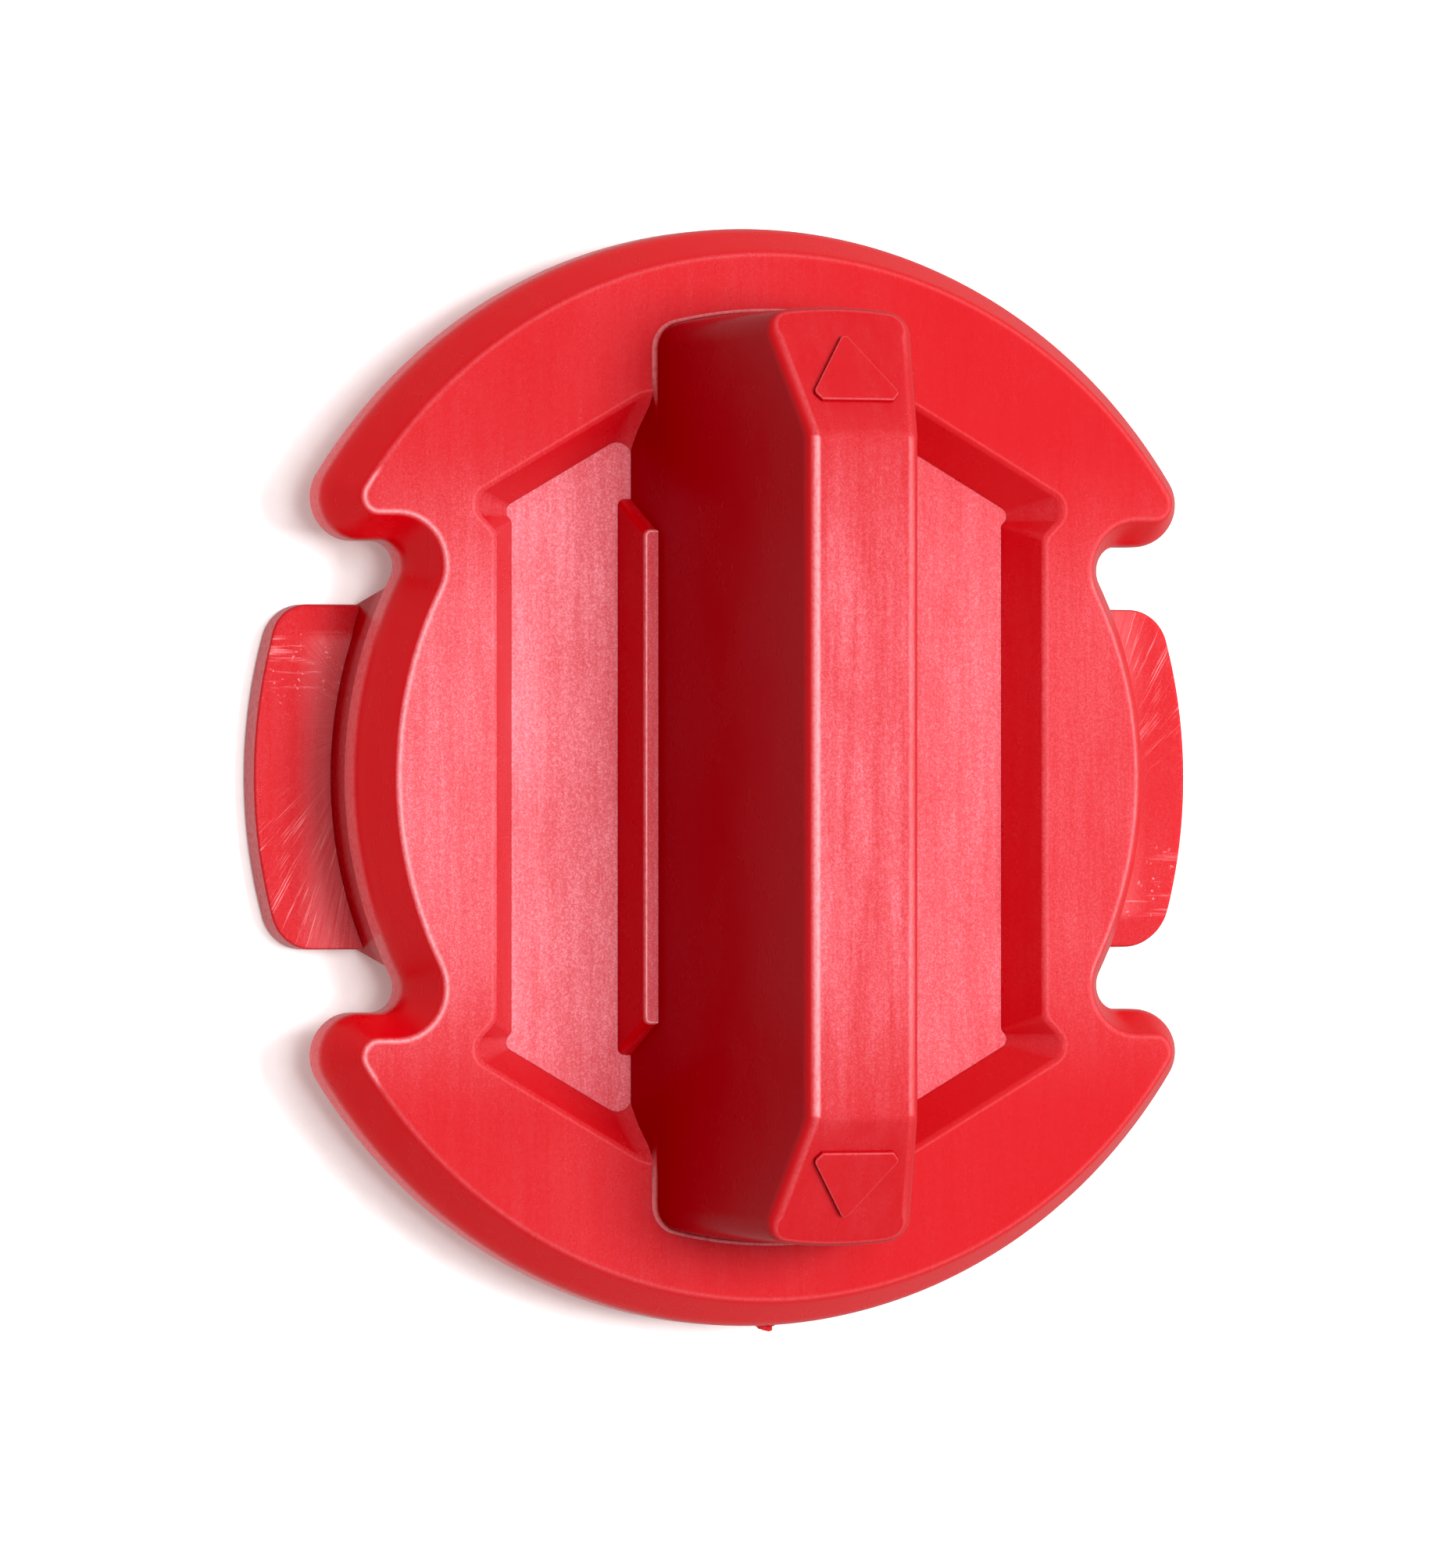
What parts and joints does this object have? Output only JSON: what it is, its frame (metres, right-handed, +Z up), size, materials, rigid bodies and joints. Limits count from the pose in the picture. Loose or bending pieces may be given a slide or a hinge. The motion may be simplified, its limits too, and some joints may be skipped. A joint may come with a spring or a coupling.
{
  "type": "drain plug",
  "caption": "Twist-lock drain plug moulded in red plastic: round lobed flange with finger pockets beside a tall hollow grip bar with arrowed ends, and locking tabs below",
  "frame": {"origin": "centre of the plug in plan, level with the underside of the locking tabs, which it lies on", "axes": "+Z up out of the flange face, +Y along the grip bar, +X through a locking tab"},
  "size_m": [0.0708, 0.0762, 0.0257],
  "materials": {
    "red_plastic": "satin moulded polyethylene with fine lengthways grain, slightly waxy, one colour right through"
  },
  "bodies": {
    "root": {"flange_plate": "red_plastic", "rim_skirt_north": "red_plastic", "grip_end_north": "red_plastic", "arrow_north": "red_plastic", "rim_skirt_south": "red_plastic", "grip_end_south": "red_plastic", "arrow_south": "red_plastic", "pocket_floor_east": "red_plastic", "grip_wall_east": "red_plastic", "grip_ledge_east": "red_plastic", "hub_wall_east": "red_plastic", "locking_tab_east": "red_plastic", "pocket_floor_west": "red_plastic", "grip_wall_west": "red_plastic", "grip_ledge_west": "red_plastic", "hub_wall_west": "red_plastic", "locking_tab_west": "red_plastic", "grip_crown": "red_plastic"}
  },
  "joints": []
}
